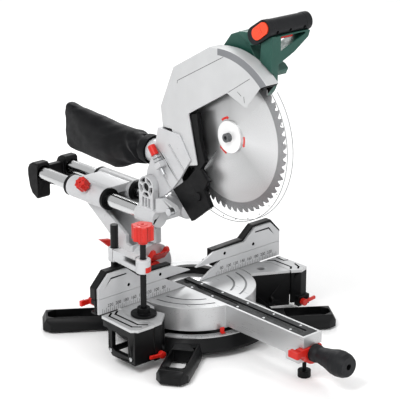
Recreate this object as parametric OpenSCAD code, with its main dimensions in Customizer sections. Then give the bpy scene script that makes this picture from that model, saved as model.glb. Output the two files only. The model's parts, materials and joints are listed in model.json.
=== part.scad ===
// Sliding compound mitre saw, 305 mm blade, standing on its own four feet.
// Frame: X along the fence, Y towards the back, Z up, millimetres.
// Origin: on the floor, below the turntable's pivot and the fence's front face.

/* [Blade] */
// Diameter of the saw blade
blade_d = 305; // [300:1:305]
// Bore of the saw blade
bore_d = 30; // [25:1:30]
// Number of teeth
teeth = 56; // [40:4:60]
// Width of the cut
kerf = 2.6; // [2.2:0.1:3]

/* [Table] */
// Height of the table above the floor
table_h = 95; // [94:1:96]
// Radius of the turntable
table_r = 130.5; // [129:0.5:131]
// Length of the turntable's arm, from the pivot
arm_l = 347; // [345:1:350]
// Width of the turntable's arm
arm_w = 50; // [48:1:52]
// Length of the fence
fence_l = 500; // [498:1:502]

/* [Slide] */
// Diameter of the guide rails
rail_d = 30; // [29:1:31]
// Distance between the guide rails
rail_gap = 80; // [80:1:82]
// Height of the guide rails above the table
rail_h = 138; // [137:1:140]

/* [Clamp] */
// Diameter of the clamp's post
post_d = 16; // [14:1:16]
// Diameter of the clamp's screw
screw_d = 12; // [10:1:12]

/* [Hidden] */
$fn = 64;

silver = "#c9cbcd";
light_grey = "#d9dadb";
black = "#17181a";
charcoal = "#35363a";
red = "#d2321f";
green = "#1f4a3f";
steel = "#9fa3a7";

run_gap = 0.05;
side_gap = 0.5;
rail_r = rail_d / 2;
rail_x = rail_gap / 2;
rail_z = table_h + rail_h;
blade_r = blade_d / 2;
post_r = post_d / 2;
screw_r = screw_d / 2;

// Main axes, each as [y, z]
pivot = [88, table_h + 201];
arbor_at = [-113, table_h + 345];
motor_at = [-22, table_h + 425];

// Base
base_r = 172;
scale_r = 152;
deck_z = 38;
wall = 5;
plate_t = 6;
wing_z = 16;
leg_front = 295;
leg_rear = 313;
leg_w = 65;
leg_top = 32;
leg_wall = 11;
leg_floor = 14;
leg_window = [190, 236];
foot_angle = 35;
leg_offset = 24.5;
bolt_xy = [206, 172];
bolt_r = 4.5;
post_at = [-183, 30];
ring_xy = [164, -32];
ring_z = table_h - 12;
ext_lock_left = [-182, -106.7, 28];
ext_lock_right = [224, -98.3, 24];
clamp_reach = 85;

// Extension tables
rod_r = 6;
rod_z = 31;
rods_left = [-94, -32];
rods_right = [-54, -32];
rod_in = 166;
split_x = 208;

// Head
guard_r = 181;
guard_x = [-30, 7];
liner_x = -27;

module bar_x(x0, x1, r) translate([x0, 0, 0]) rotate([0, 90, 0]) cylinder(r = r, h = x1 - x0);
module bar_y(y0, y1, r) translate([0, y0, 0]) rotate([-90, 0, 0]) cylinder(r = r, h = y1 - y0);
module at_yz(p) translate([0, p[0], p[1]]) children();
// A flat outline in Y and Z, made solid from x0 to x1
module slab_x(x0, x1) translate([x0, 0, 0]) rotate([90, 0, 90]) linear_extrude(x1 - x0) children();
// A flat outline in X and Z, made solid from y0 to y1
module slab_y(y0, y1) translate([0, y1, 0]) rotate([90, 0, 0]) linear_extrude(y1 - y0) children();
module slab_z(z0, z1) translate([0, 0, z0]) linear_extrude(z1 - z0) children();
module both_sides() for (s = [0, 1]) mirror([s, 0, 0]) children();
function on_circle(c, r, a) = [c[0] - r * cos(a), c[1] + r * sin(a)];
function arc(c, r, a0, a1, n = 24) = [for (i = [0:n]) on_circle(c, r, a0 + (a1 - a0) * i / n)];

// ---- Base ----

module leg_outline(l, inset = 0) {
    w = leg_w / 2 - inset;
    e = l - inset;
    polygon([[120, -w], [e - 16, -w], [e, -w + 12], [e, w - 12], [e - 16, w], [120, w]]);
}

module leg_chamfers(l) {
    for (s = [-1, 1])
        translate([100, s * leg_w / 2, leg_top - 14]) rotate([s * 30, 0, 0])
            translate([0, s > 0 ? 0 : -40, 0]) cube([l, 40, 60]);
    translate([l, -60, leg_top - 14]) rotate([0, -30, 0]) cube([40, 120, 60]);
}

// The base ring's outer shape, taken off whatever meets it
module base_envelope() rotate_extrude() polygon([[0, -1], [base_r, -1], [base_r, 20],
    [scale_r + 1, deck_z], [0, deck_z]]);

module leg_pocket(l, end) intersection() {
    leg_outline(l, leg_wall);
    translate([leg_window[0], -leg_w]) square([end - leg_window[0], 2 * leg_w]);
}

module leg(l) difference() {
    slab_z(4, leg_top) leg_outline(l);
    slab_z(leg_floor, leg_top + 1) leg_pocket(l, l);
    slab_z(-1, leg_floor + 1) leg_pocket(l, leg_window[1]);
    leg_chamfers(l);
    slab_z(0, 6) translate([leg_window[1] + leg_wall, -leg_w / 2 + leg_wall])
        square([l - leg_window[1] - 2 * leg_wall, leg_w - 2 * leg_wall]);
}

module legs() color(black) difference() {
    for (sx = [0, 1], sy = [0, 1]) mirror([sx, 0, 0]) mirror([0, sy, 0]) {
        rotate(foot_angle) translate([0, leg_offset, 0]) leg(sy > 0 ? leg_front : leg_rear);
        translate([bolt_xy[0], bolt_xy[1], 6]) cylinder(r = 11, h = 11);
    }
    for (sx = [-1, 1], sy = [-1, 1]) translate([sx * bolt_xy[0], sy * bolt_xy[1], 0])
        cylinder(r = bolt_r, h = 30);
    base_envelope();
}

module rubber_feet() color(charcoal) for (sx = [-1, 1], sy = [-1, 1])
    translate([sx * bolt_xy[0], sy * bolt_xy[1], 0]) difference() {
        union() {
            cylinder(r = 20, h = 4);
            cylinder(r = 12, h = 6);
        }
        translate([0, 0, -1]) cylinder(r = bolt_r, h = 10);
    }

left_wing = [[-193.6, 14], [-134, 14], [-138, -37], [-152, -55], [-145, -78], [-176, -105],
    [-196, -107], [-195, -86.5], [-207.4, -74], [-205, -23], [-196, -15]];
right_wing = [[191, 14], [132, 14], [128, -39], [203.6, -80], [204, -22.5], [191.4, -4]];

module wing_walls(outline) difference() {
    slab_z(wing_z, table_h - plate_t) polygon(outline);
    children();
}

module left_wing_body() difference() {
    wing_walls(left_wing) translate([-300, -102, wing_z - 1]) union() {
        cube([300 - 145, 20, table_h - plate_t - wing_z - wall + 1]);
        translate([0, 14, 0]) cube([300 - 157, 97, table_h - plate_t - wing_z - wall + 1]);
    }
    translate([0, 0, deck_z + 6.5]) cylinder(r = table_r + 3, h = 100);
    translate([-250, -20, -1]) cube([150, 60, 45]);
    translate([ext_lock_left[0], 0, ext_lock_left[2]]) bar_y(-120, -90, 4 + run_gap);
}

module right_wing_body() difference() {
    wing_walls(right_wing) translate([156, -30, wing_z - 1])
        cube([100, 39, table_h - plate_t - wing_z - wall + 1]);
    translate([0, 0, deck_z + 6.5]) cylinder(r = table_r + 3, h = 100);
}

// Guides that the extension tables' rods slide in
module rod_guides(s, ys) for (y = ys) mirror([s > 0 ? 0 : 1, 0, 0]) {
    translate([0, y, rod_z]) bar_x(rod_in + 1, 194, 10);
    translate([rod_in + 1, y - 3, rod_z]) cube([26, 6, table_h - plate_t - rod_z - 1]);
}
module rod_bores(s, ys) for (y = ys) translate([0, y, rod_z])
    bar_x(s > 0 ? rod_in - 2 : -300, s > 0 ? 300 : 2 - rod_in, rod_r + run_gap);

module post_socket() translate([post_at[0], post_at[1], 0]) difference() {
    union() {
        translate([0, 0, 50]) cylinder(r = 11, h = table_h - 50);
        translate([-11, -20, 50]) cube([22, 18, table_h - plate_t - 50]);
    }
    cylinder(r = post_r + run_gap, h = 300);
}

module base_casting() color(black) {
    difference() {
        union() {
            rotate_extrude() polygon([[base_r - 6, 14], [base_r, 14], [base_r, 20],
                [scale_r + 1, deck_z], [22, deck_z], [22, deck_z - 4], [scale_r - 5, deck_z - 4]]);
            translate([0, 0, 18]) cylinder(r = 24, h = deck_z - 12);
            for (a = [0:60:300]) rotate(a) translate([20, -2.5, 18]) cube([scale_r - 26, 5, deck_z - 20]);
            left_wing_body();
            right_wing_body();
            rod_guides(-1, rods_left);
            rod_guides(1, rods_right);
        }
        translate([0, 0, 10]) cylinder(r = 8, h = 60);
        rod_bores(-1, rods_left);
        rod_bores(1, rods_right);
        for (s = [-1, 1]) translate([s * ring_xy[0], ring_xy[1], 0]) {
            translate([0, 0, ring_z]) cylinder(r = 12, h = 30);
            translate([0, 0, ring_z - 30]) cylinder(r = 9.5, h = 40);
        }
    }
    post_socket();
}

module pivot_bolt() color(steel) {
    translate([0, 0, 12]) cylinder(r = 16, h = 6, $fn = 6);
    translate([0, 0, 12]) cylinder(r = 8 - run_gap, h = 60);
    translate([0, 0, 70]) cylinder(r = 13, h = 5);
}

module ring_insert(x, y) translate([x, y, ring_z]) difference() {
    cylinder(r = 12, h = plate_t + 6);
    translate([0, 0, -1]) cylinder(r = 8, h = 30);
}

module table_plates() color(silver) {
    difference() {
        union() {
            slab_z(table_h - plate_t, table_h) polygon(left_wing);
            slab_z(table_h - plate_t, table_h) polygon(right_wing);
        }
        translate([0, 0, 50]) cylinder(r = table_r + 2, h = 80);
        for (s = [-1, 1]) translate([s * ring_xy[0], ring_xy[1], 50]) cylinder(r = 12, h = 80);
        translate([post_at[0], post_at[1], 50]) cylinder(r = 11, h = 80);
    }
    for (s = [-1, 1]) ring_insert(s * ring_xy[0], ring_xy[1]);
}

module scale_ring() color(steel) difference() {
    translate([0, 0, deck_z]) cylinder(r = scale_r, h = 2);
    translate([0, 0, deck_z - 1]) cylinder(r = table_r + 4, h = 5);
    translate([-200, -60, 0]) cube([400, 300, 100]);
    translate([120, -200, 0]) cube([100, 200, 100]);
}

// ---- Fence ----

fence_t = 5;
fence_low = 32.5;
tip_x = 8.5;
module fence_low_outline() polygon([[-fence_l / 2, 0.6], [-20, 0.6], [-77, fence_low],
    [-fence_l / 2, fence_low]]);

module fence_lower() color(light_grey) both_sides()
    translate([0, 0, table_h]) slab_y(0, fence_t) fence_low_outline();

module support_block(s) difference() {
    union() {
        difference() {
            translate([s < 0 ? -fence_l / 2 - 4 : 62, fence_t, table_h + 0.6])
                cube([fence_l / 2 - 58, 14, fence_low - 2]);
            translate([s < 0 ? -300 : 0, fence_t + 4, table_h + 6]) cube([300, 20, fence_low - 18]);
        }
        translate([s * fence_lock[0], 0, fence_lock[2]]) bar_y(fence_t + 2, fence_t + 14, 10);
    }
    translate([s * fence_lock[0], 0, fence_lock[2]]) bar_y(fence_t - 1, 40, 4 + run_gap);
}

module fence_support() color(black) {
    for (s = [-1, 1]) {
        support_block(s);
        translate([s * 172 - 30, fence_t, table_h]) cube([60, 8, 2]);
    }
    difference() {
        translate([0, fence_t, table_h + 0.6]) cylinder(r = 68, h = 15);
        translate([0, fence_t, table_h]) cylinder(r = 54, h = 30);
        translate([-100, -100 + fence_t, table_h]) cube([200, 100, 30]);
    }
}

fence_lock = [238, 20.3, table_h + 18];
face_x = [-172, -89];
face_z = table_h + 45;
face_r = 3.5;
fence_top = [[-fence_l / 2, 54.5], [-223, 81], [-176, 81], [-145, 56], [-57, 55], [-tip_x, 34.5]];
module fence_top_outline() polygon(concat([[-tip_x, fence_low + 0.6], [-fence_l / 2, fence_low + 0.6]],
    fence_top));
module fence_body_outline() polygon([[-57, fence_low + 0.6], [-fence_l / 2 - 5, fence_low + 0.6],
    [-fence_l / 2 - 5, 56], [-227, 86], [-174, 86], [-143, 61], [-57, 59]]);

module upper_fence() {
    difference() {
        translate([0, 0, table_h]) slab_y(0, fence_t) fence_top_outline();
        for (x = face_x) translate([x, 0, face_z]) bar_y(-1, fence_t + 1, face_r);
        translate([0, 0, table_h]) slab_y(-1, 1.2)
            polygon([[-234, 51.5], [-218, 72], [-177, 72], [-177, 69], [-217, 68.5]]);
    }
    color(black) difference() {
        translate([0, 0, table_h]) slab_y(fence_t, 20) fence_body_outline();
        translate([-240, fence_t + 4, table_h + 38]) cube([160, 20, 14]);
        for (x = face_x) translate([x, 0, face_z]) bar_y(0, 30, face_r);
    }
}

module fence_left() color(light_grey) upper_fence();
module fence_right() color(light_grey) mirror([1, 0, 0]) upper_fence();

module fence_lever() translate([-fence_lock[0], fence_lock[1], fence_lock[2]]) {
    bar_y(0.2, 14, 8);
    bar_y(-12, 1, 4);
    translate([-20, 14, -5]) cube([24, 6, 10]);
    translate([-28, 14, -5.5]) cube([10, 7, 11]);
    bar_y(14, 20, 8);
}
module fence_lever_left() color(red) fence_lever();
module fence_lever_right() color(red) mirror([1, 0, 0]) fence_lever();

// ---- Extension tables ----

ext_left = [[-195.2, -4], [-246, -4], [-249, -97], [-238, -107.6], [-197.2, -108], [-196.4, -87],
    [-208.6, -75], [-206.2, -23.6], [-197.2, -15.6]];
ext_right = [[192.6, -4], [245.5, -4], [245.5, -88.5], [225, -94.5], [204.8, -83], [205.2, -22]];
frame_out = [[-4, 89], [-12, 80], [-24, 72], [-24, 32], [-36, 20], [-104, 20], [-104, 89]];
frame_in = [[-36, 74], [-36, 38], [-46, 33], [-85, 33], [-85, 74]];

// A shallow groove along a line of points in a table's top
module groove(points, w = 4, depth = 1) for (i = [0:len(points) - 2]) {
    run = points[i + 1] - points[i];
    translate([points[i][0], points[i][1], table_h - depth]) rotate(atan2(run[1], run[0]))
        translate([-w / 2, -w / 2, 0]) cube([norm(run) + w, w, depth + 1]);
}

module ext_left_top() color(silver) difference() {
    slab_z(table_h - plate_t, table_h) polygon(ext_left);
    for (x = [-220.5, -236]) groove([[x + 12, -7], [x, -16], [x, -86], [x + 13, -98]]);
}
module ext_right_top() color(silver) difference() {
    slab_z(table_h - plate_t, table_h) polygon(ext_right);
    groove([[209.5, -7], [219.5, -17], [219.5, -67], [212, -74]]);
    groove([[235, -5], [234, -30], [250, -37]]);
    groove([[238, -61], [232.5, -77], [225, -83]]);
}

module ext_frame(depth) {
    slab_x(-246, -237) polygon([for (p = frame_out) [max(p[0], depth), p[1]]]);
    translate([-246, depth, table_h - plate_t - 14]) cube([246 - split_x - 4, -depth - 8, 14]);
}
module ext_rods(ys) for (y = ys) {
    translate([0, y, rod_z]) bar_x(-245, -rod_in, rod_r);
    translate([0, y, rod_z]) bar_x(-248, -245, 4.5);
}
module rod_lug(y) translate([-246, y - 8, rod_z - 9]) cube([9, 16, 56]);

module ext_left_frame() {
    color(black) difference() {
        union() {
            ext_frame(-104);
            rod_lug(rods_left[0]);
            translate([-246, -106, 20]) cube([48, 5, table_h - plate_t - 20]);
        }
        slab_x(-260, -230) polygon(frame_in);
        for (y = rods_left) translate([0, y, rod_z]) bar_x(-250, -200, rod_r);
    }
    color(steel) ext_rods(rods_left);
}
module ext_right_frame() mirror([1, 0, 0]) {
    color(black) difference() {
        union() {
            ext_frame(-86);
            rod_lug(rods_right[0]);
            translate([-246, -98, 14]) cube([32, 14, 22]);
            slab_z(20, table_h - plate_t)
                polygon([[-244, -90], [-225, -93], [-206, -82], [-206, -78], [-225, -88], [-244, -84]]);
        }
        for (y = rods_right) translate([0, y, rod_z]) bar_x(-250, -200, rod_r);
        translate([-ext_lock_right[0], 0, ext_lock_right[2]]) bar_y(-110, -86, 4 + run_gap);
    }
    color(steel) ext_rods(rods_right);
}

module ext_lever(s) {
    bar_y(-10, 0, 7.5);
    bar_y(-1, 1.8, 4);
    rotate([0, s > 0 ? -6 : 186, 0]) translate([4, -9, -3.5]) cube([28, 5, 7]);
}
module ext_lever_left() color(red) translate(ext_lock_left) ext_lever(-1);
module ext_lever_right() color(red) translate(ext_lock_right) ext_lever(1);

// ---- Hold-down clamp ----

clamp_z = table_h + 92;
clamp_h = 28;
spindle_at = [-180, post_at[1] - clamp_reach];

module clamp_post() color(black) translate([post_at[0], post_at[1], 46])
    cylinder(r = post_r, h = table_h + 168 - 46);

module clamp_arm() color(silver) difference() {
    union() {
        translate([post_at[0], post_at[1], clamp_z]) cylinder(r = 13, h = clamp_h);
        translate([spindle_at[0], spindle_at[1], clamp_z - 2]) cylinder(r = 15, h = clamp_h + 1);
        translate([post_at[0], post_at[1], clamp_z + 2]) rotate(-90)
            translate([0, -10, 0]) cube([clamp_reach, 22, clamp_h - 4]);
    }
    translate([post_at[0], post_at[1], 0]) cylinder(r = post_r, h = 400);
    translate([spindle_at[0], spindle_at[1], 0]) cylinder(r = screw_r + run_gap, h = 400);
}

module clamp_screw() color(black) translate([spindle_at[0], spindle_at[1], table_h + 6])
    cylinder(r = screw_r, h = 150);

module clamp_knob() color(red) translate([spindle_at[0], spindle_at[1], table_h + 151]) difference() {
    union() {
        cylinder(r = 10, h = 40);
        translate([0, 0, 8]) cylinder(r = 19, h = 31);
        for (a = [0:60:300]) rotate(a) translate([16, 0, 9]) cylinder(r = 7, h = 29, $fn = 32);
    }
    translate([0, 0, -1]) cylinder(r = screw_r, h = 30);
    translate([0, 0, 34]) cylinder(r = 3, h = 10);
}

module clamp_pad() color(charcoal) translate([spindle_at[0], spindle_at[1], table_h + 0.3])
    difference() {
        union() {
            cylinder(r = 26, h = 5);
            cylinder(r = 13, h = 16);
        }
        translate([0, 0, 5.7]) cylinder(r = screw_r + run_gap, h = 20);
    }

// ---- Turntable ----

slot_w = 22;
insert_w = 40;
arm_z = 49;
knob_z = table_h - 36;
// Start, before the fence, and depth of the relief below the fence and behind it
relief = [0.5, 0.4];

module turntable() color(silver) difference() {
    union() {
        rotate_extrude() polygon([[0, table_h], [table_r, table_h], [table_r, 45], [table_r - 6, 45],
            [table_r - 6, table_h - 9], [0, table_h - 9]]);
        translate([0, 0, 45]) cylinder(r = 26, h = 23);
        for (a = [30:60:330]) rotate(a) translate([22, -3, 50]) cube([table_r - 26, 6, 38]);
        difference() {
            union() {
                translate([-arm_w / 2, -arm_l, table_h - 23]) cube([arm_w, arm_l - 100, 23]);
                translate([-arm_w / 2, -arm_l + 12, arm_z]) cube([arm_w, arm_l - 120, table_h - arm_z - 10]);
                translate([-arm_w / 2, -arm_l + 12, arm_z - 13]) cube([arm_w, 36, 30]);
            }
            translate([-arm_w / 2 + wall, -arm_l + 24, 0]) cube([arm_w - 2 * wall, arm_l - 110, table_h - 9]);
        }
        translate([-9, -arm_l + 12, arm_z - 13]) cube([18, 18, 30]);
    }
    translate([-200, -relief[0], table_h - relief[1]]) cube([400, 300, 10]);
    translate([-insert_w / 2, -arm_l + 6, table_h - 4]) cube([insert_w, arm_l + 30, 10]);
    translate([-slot_w / 2, -arm_l + 22, table_h - 18]) cube([slot_w, arm_l + 14, 40]);
    cylinder(r = 8, h = 200);
    translate([0, 0, 68]) cylinder(r = 16, h = table_h);
    translate([0, 0, knob_z]) bar_y(-arm_l - 10, -100, 5 + run_gap);
    translate([0, -arm_l + 21, 0]) cylinder(r = 4 + run_gap, h = knob_z - 5.5);
    for (r = [85, 110]) difference() {
        translate([0, 0, table_h - 1.5]) difference() {
            cylinder(r = r + 2, h = 10);
            cylinder(r = r - 2, h = 30, center = true);
        }
        translate([-200, -12, 0]) cube([400, 300, 200]);
        translate([-34, -300, 0]) cube([68, 600, 200]);
    }
    translate([-bracket_arm[0], 103, bracket_arm[1]]) cube([2 * bracket_arm[0], 30, bracket_arm[2]]);
    translate([-hub_r - 2, hub_y[0], 0]) cube([2 * hub_r + 4, 20, 200]);
    translate([0, 0, table_h]) bar_y(hub_y[0] - 10, hub_y[1], 16);
}

module table_insert() color(charcoal) difference() {
    translate([-insert_w / 2, -arm_l + 6.3, table_h - 4]) cube([insert_w, arm_l + 29, 3.8]);
    translate([-slot_w / 2 + 4, -arm_l + 22, 0]) cube([slot_w - 8, arm_l + 14.3, 200]);
}

module mitre_pointer() color(red) difference() {
    translate([-45, -133, 41]) rotate(-18) union() {
        cube([9, 3, 11]);
        translate([0, -6, 0]) cube([9, 6, 1.5]);
    }
    cylinder(r = table_r, h = 100);
}

module mitre_knob() color(black) translate([0, 0, knob_z]) {
    difference() {
        rotate([90, 0, 0]) rotate_extrude() polygon([[0, arm_l + 5], [18, arm_l + 5], [18, arm_l + 14],
            [16, arm_l + 22], [20, arm_l + 45], [25, arm_l + 62], [26, arm_l + 74], [24, arm_l + 88],
            [20, arm_l + 96], [0, arm_l + 96]]);
        bar_y(-arm_l - 100, -arm_l - 80, 6);
    }
    bar_y(-arm_l - 6, -178, 5);
}

module detent_lever() color(red) translate([0, 0, knob_z]) {
    difference() {
        union() {
            bar_y(-arm_l - 4.5, -arm_l + 11.5, 24);
            translate([-36, -arm_l - 4.5, -2]) cube([30, 16, 15]);
        }
        bar_y(-arm_l - 20, -arm_l + 20, 9);
        translate([-50, -arm_l - 6, 12.5]) cube([100, 30, 20]);
    }
    translate([-46, -arm_l - 4.5, -4]) cube([12, 26, 14]);
}

module arm_foot() translate([0, -arm_l + 21, 0]) {
    color(black) cylinder(r = 13, h = 14);
    color(steel) cylinder(r = 4, h = 45);
}

// ---- Bevel ----

hub_r = 52;
hub_y = [128, 140, 158];
// Half width, lower face and height of the bracket's arm in the turntable's rim
bracket_arm = [44, 61, 20];
// The latch's hinge, as [y, z], its pin and the latch's two sides
latch_at = [126, table_h + 27];
latch_pin = 1.8;
latch_x = [-18, 26];

module bevel_bracket() color(steel) difference() {
    union() {
        translate([0, 0, table_h]) bar_y(hub_y[0], hub_y[1], hub_r);
        translate([-bracket_arm[0], 104, bracket_arm[1]])
            cube([2 * bracket_arm[0], hub_y[1] - 104, bracket_arm[2]]);
        for (x = [latch_x[0] - 7, latch_x[1] + 2]) translate([x, latch_at[0] - 4, latch_at[1] - 5])
            cube([5, 7, 10]);
    }
    translate([0, 0, table_h]) bar_y(hub_y[0] - 10, hub_y[0], 16);
    translate([0, 0, table_h]) bar_y(0, 300, 10);
    at_yz(latch_at) bar_x(latch_x[0] - 7, latch_x[1] + 7, latch_pin + run_gap);
}

web_side = [[114, 57], [114, 90], [122, 96], [228, 114], [306, 108], [225, 58], [162, 10],
    [152, 10], [152, 44], [140, 57]];
flange_side = [[262, 118], [312, 118], [225, 57], [176, 19], [158, 12], [158, 48], [172, 50],
    [172, 70]];
back_side = [[312, 113], [225, 57], [158, 6], [158, 16], [221, 66], [296, 113]];

module tilt_arm() color(silver) difference() {
    union() {
        translate([0, 0, table_h]) bar_y(hub_y[1] + 0.3, hub_y[2], hub_r - 1);
        translate([0, 0, table_h]) slab_x(-4, 12) polygon(web_side);
        translate([0, 0, table_h]) slab_x(-38, -28) polygon(flange_side);
        translate([0, 0, table_h]) slab_x(28, 38) polygon(flange_side);
        translate([0, 0, table_h]) slab_x(-38, 38) polygon(back_side);
        translate([0, 0, table_h]) slab_x(-38, 38) polygon([[150, 30], [158, 30], [158, 50], [150, 50]]);
        translate([-38, 228, rail_z - 26]) cube([76, 84, 6]);
    }
    translate([0, 0, table_h]) bar_y(0, 300, 10 + run_gap);
    both_sides() translate([rail_x, 0, rail_z]) bar_y(200, 400, rail_r + 9);
}

module rail_housing() color(silver) difference() {
    union() {
        both_sides() translate([rail_x, 0, rail_z]) bar_y(228, 345, rail_r + 9);
        translate([-rail_x, 236, rail_z + 2]) cube([rail_gap, 103, 18]);
    }
    translate([-rail_x + 8, 244, rail_z]) cube([rail_gap - 16, 88, 14]);
    both_sides() translate([rail_x, 0, rail_z]) bar_y(0, 500, rail_r + run_gap);
}

module rail_seals() color(black) both_sides() for (y = [219.5, 345]) difference() {
    translate([rail_x, 0, rail_z]) bar_y(y, y + 8.5, rail_r + 9);
    translate([rail_x, 0, rail_z]) bar_y(y - 1, y + 10, rail_r + 0.3);
}

lever_y = [204, 215];
module bevel_lever() {
    color(steel) translate([0, 0, table_h]) bar_y(hub_y[0] - 8, lever_y[1], 10 - run_gap);
    color(steel) translate([0, 0, table_h]) bar_y(hub_y[0] - 8, hub_y[0] - 0.3, 15);
    color(red) translate([0, 0, table_h]) difference() {
        union() {
            bar_y(lever_y[0], lever_y[1], 25);
            slab_y(lever_y[0], lever_y[1]) polygon([[-80, 59], [-52, 54], [-20, 14], [-24, -4], [-52, 34]]);
        }
        bar_y(100, 300, 10 - run_gap);
    }
}

// A red U, open at the top, leaning away from the hub
module bevel_latch() {
    color(red) translate([0, 0, table_h]) difference() {
        slab_x(latch_x[0], latch_x[1])
            polygon([[127, 17], [121, 17], [103, 38], [107, 46], [113, 46], [127, 28]]);
        slab_x(latch_x[0] + 7, latch_x[1] - 7)
            polygon([[140, 24], [119, 24], [100, 44], [100, 60], [140, 60]]);
    }
    color(steel) at_yz(latch_at) {
        bar_x(latch_x[0] - 6, latch_x[0] + 6, latch_pin);
        bar_x(latch_x[1] - 6, latch_x[1] + 6, latch_pin);
    }
}

knob_tilt = 42;
slide_knob_y = 278;
module slide_knob() translate([-rail_x, slide_knob_y, rail_z]) rotate([0, -90 + knob_tilt, 0]) {
    color(black) translate([0, 0, rail_r + 9.6]) cylinder(r = 7, h = 6);
    color(red) translate([0, 0, rail_r + 14]) difference() {
        union() {
            cylinder(r = 12.5, h = 19);
            for (a = [0:45:315]) rotate(a) translate([12, 0, 0]) cylinder(r = 2.4, h = 19, $fn = 24);
        }
        translate([0, 0, 13]) cylinder(r = 2.5, h = 10);
    }
}

// ---- Carriage on rails ----

rail_y = [60, 478];
ear_x = [36, 52];

module rails() color(silver) both_sides() translate([rail_x, 0, rail_z]) difference() {
    bar_y(rail_y[0], rail_y[1], rail_r);
    bar_y(rail_y[0] - 1, rail_y[1] + 1, rail_r - 2.5);
}

bracket_side = [[456, -54], [461, -58], [480, -48], [488, -34], [494, -8], [494, 8], [488, 18],
    [478, 24], [462, 25], [456, 20]];
module rear_bracket() color(black) difference() {
    union() {
        for (s = [-1, 1]) translate([0, 0, rail_z])
            slab_x(s * rail_x - 17, s * rail_x + 17) polygon(bracket_side);
        translate([-rail_x, 466, rail_z - 34]) cube([rail_gap, 16, 46]);
    }
    both_sides() translate([rail_x, 0, rail_z]) bar_y(0, rail_y[1], rail_r);
}

module ear(x0, x1) difference() {
    union() {
        at_yz(pivot) bar_x(x0, x1, 24);
        translate([x0, pivot[0] - 22, rail_z + 8]) cube([x1 - x0, 44, pivot[1] - rail_z - 8]);
    }
    at_yz(pivot) bar_x(x0 - 1, x1 + 1, 9);
}

module horn_side() polygon([[60, 12], [60, 45], [40, 50], [4, 42], [-4, 34], [-2, 26], [30, 24]]);

// A ring cut into the left ear, which leaves five spokes around the pivot
module wheel_pocket() at_yz(pivot) difference() {
    bar_x(-ear_x[1] - 1, -ear_x[1] + 6, 20.5);
    bar_x(-ear_x[1] - 2, -ear_x[1] + 7, 11.5);
    for (a = [0:72:288]) rotate([a, 0, 0]) translate([-ear_x[1] - 2, -2.5, 9]) cube([9, 5, 14]);
}

module carriage() {
    color(silver) difference() {
        union() {
            both_sides() translate([rail_x, 0, rail_z]) bar_y(58, 118, rail_r + 5);
            translate([-rail_x, 62, rail_z - 10]) cube([rail_gap, 52, 16]);
            ear(-ear_x[1], -ear_x[0]);
            ear(ear_x[0], ear_x[1]);
            translate([0, 0, rail_z]) slab_x(-50, -38) horn_side();
        }
        both_sides() translate([rail_x, 0, rail_z]) bar_y(rail_y[0], 200, rail_r);
        wheel_pocket();
        for (y = [-14, -4.5, 5]) translate([-ear_x[1] - 1, pivot[0] + y, rail_z + 20])
            cube([6, 6.5, 20]);
        translate([0, 4, rail_z + 34]) bar_x(-60, -30, 4 + run_gap);
    }
    color(steel) at_yz(pivot) bar_x(-ear_x[1] + 4, ear_x[1] - 4, 9);
}

module rail_cover() color(black) translate([0, 0, rail_z]) slab_x(-14.5, 14.5)
    polygon([[114, -18], [114, 0], [130, 0], [206, -6], [206, -18]]);

module transport_pin() translate([0, 4, rail_z + 34]) {
    color(steel) bar_x(-56, -38, 4);
    color(black) bar_x(-64, -53, 8);
}

// ---- Head ----

head_side = concat([[112, 200], [104, 232], [78, 292], [70, 330], [4, 330]],
    [[-30, 283], [2, 236], [24, 210], [52, 186], [72, 178], [100, 180]]);

rear_wall = [[112, 200], [104, 232], [78, 292], [70, 330], [62, 330], [66, 288], [80, 230]];
inner_plate = [[112, 200], [104, 232], [78, 292], [41, 360], [11, 380], [-20, 330], [60, 215]];
dust_at = [-10, table_h + 268];
dust_r = 25;

module dust_bore(r) translate([dust_at[0], 0, dust_at[1]]) bar_y(50, 140, r);

module head_arm() color(silver) {
    difference() {
        union() {
            translate([0, 0, table_h]) slab_x(liner_x - 7, liner_x - 1) polygon(head_side);
            at_yz(pivot) bar_x(-ear_x[0] + 0.4, ear_x[0] - 0.4, 24);
            translate([0, 0, table_h]) slab_x(liner_x - 1, 34) polygon(rear_wall);
            translate([0, 0, table_h]) slab_x(14, 34) polygon(inner_plate);
        }
        at_yz(pivot) bar_x(-60, 60, 9 + run_gap);
        for (i = [0:2]) translate([liner_x - 8, 52 - 22 * i, table_h + 232 + 22 * i])
            rotate([45, 0, 0]) cube([2.5, 74, 2.5], center = true);
        slab_x(guard_x[0], guard_x[1]) polygon(face);
        slab_x(guard_x[0], guard_x[1]) polygon(concat(rim_out, rim_in));
        dust_bore(dust_r - 4);
    }
    stop_place() difference() {
        translate([-8, -9, -30]) cube([20, 18, 13]);
        translate([0, 0, -60]) cylinder(r = 4 + run_gap, h = 60);
    }
}

face = concat(arc(arbor_at, guard_r - 13, 49, 104, 14), [[34, table_h + 448], [60, table_h + 373],
    [50, table_h + 335], [4, table_h + 262], [-46, table_h + 276], [-20, table_h + 377],
    [-131, table_h + 442], [-184, table_h + 423]]);
rim_out = concat(arc(arbor_at, guard_r, 47, 102, 16), [[31, table_h + 464], [72, table_h + 373],
    [66, table_h + 330]]);
rim_in = concat([[61, table_h + 330], [66, table_h + 373], [27.8, table_h + 460.4],
    [-77.5, table_h + 521.6]], arc(arbor_at, guard_r - 5, 100, 47, 16));

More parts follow.
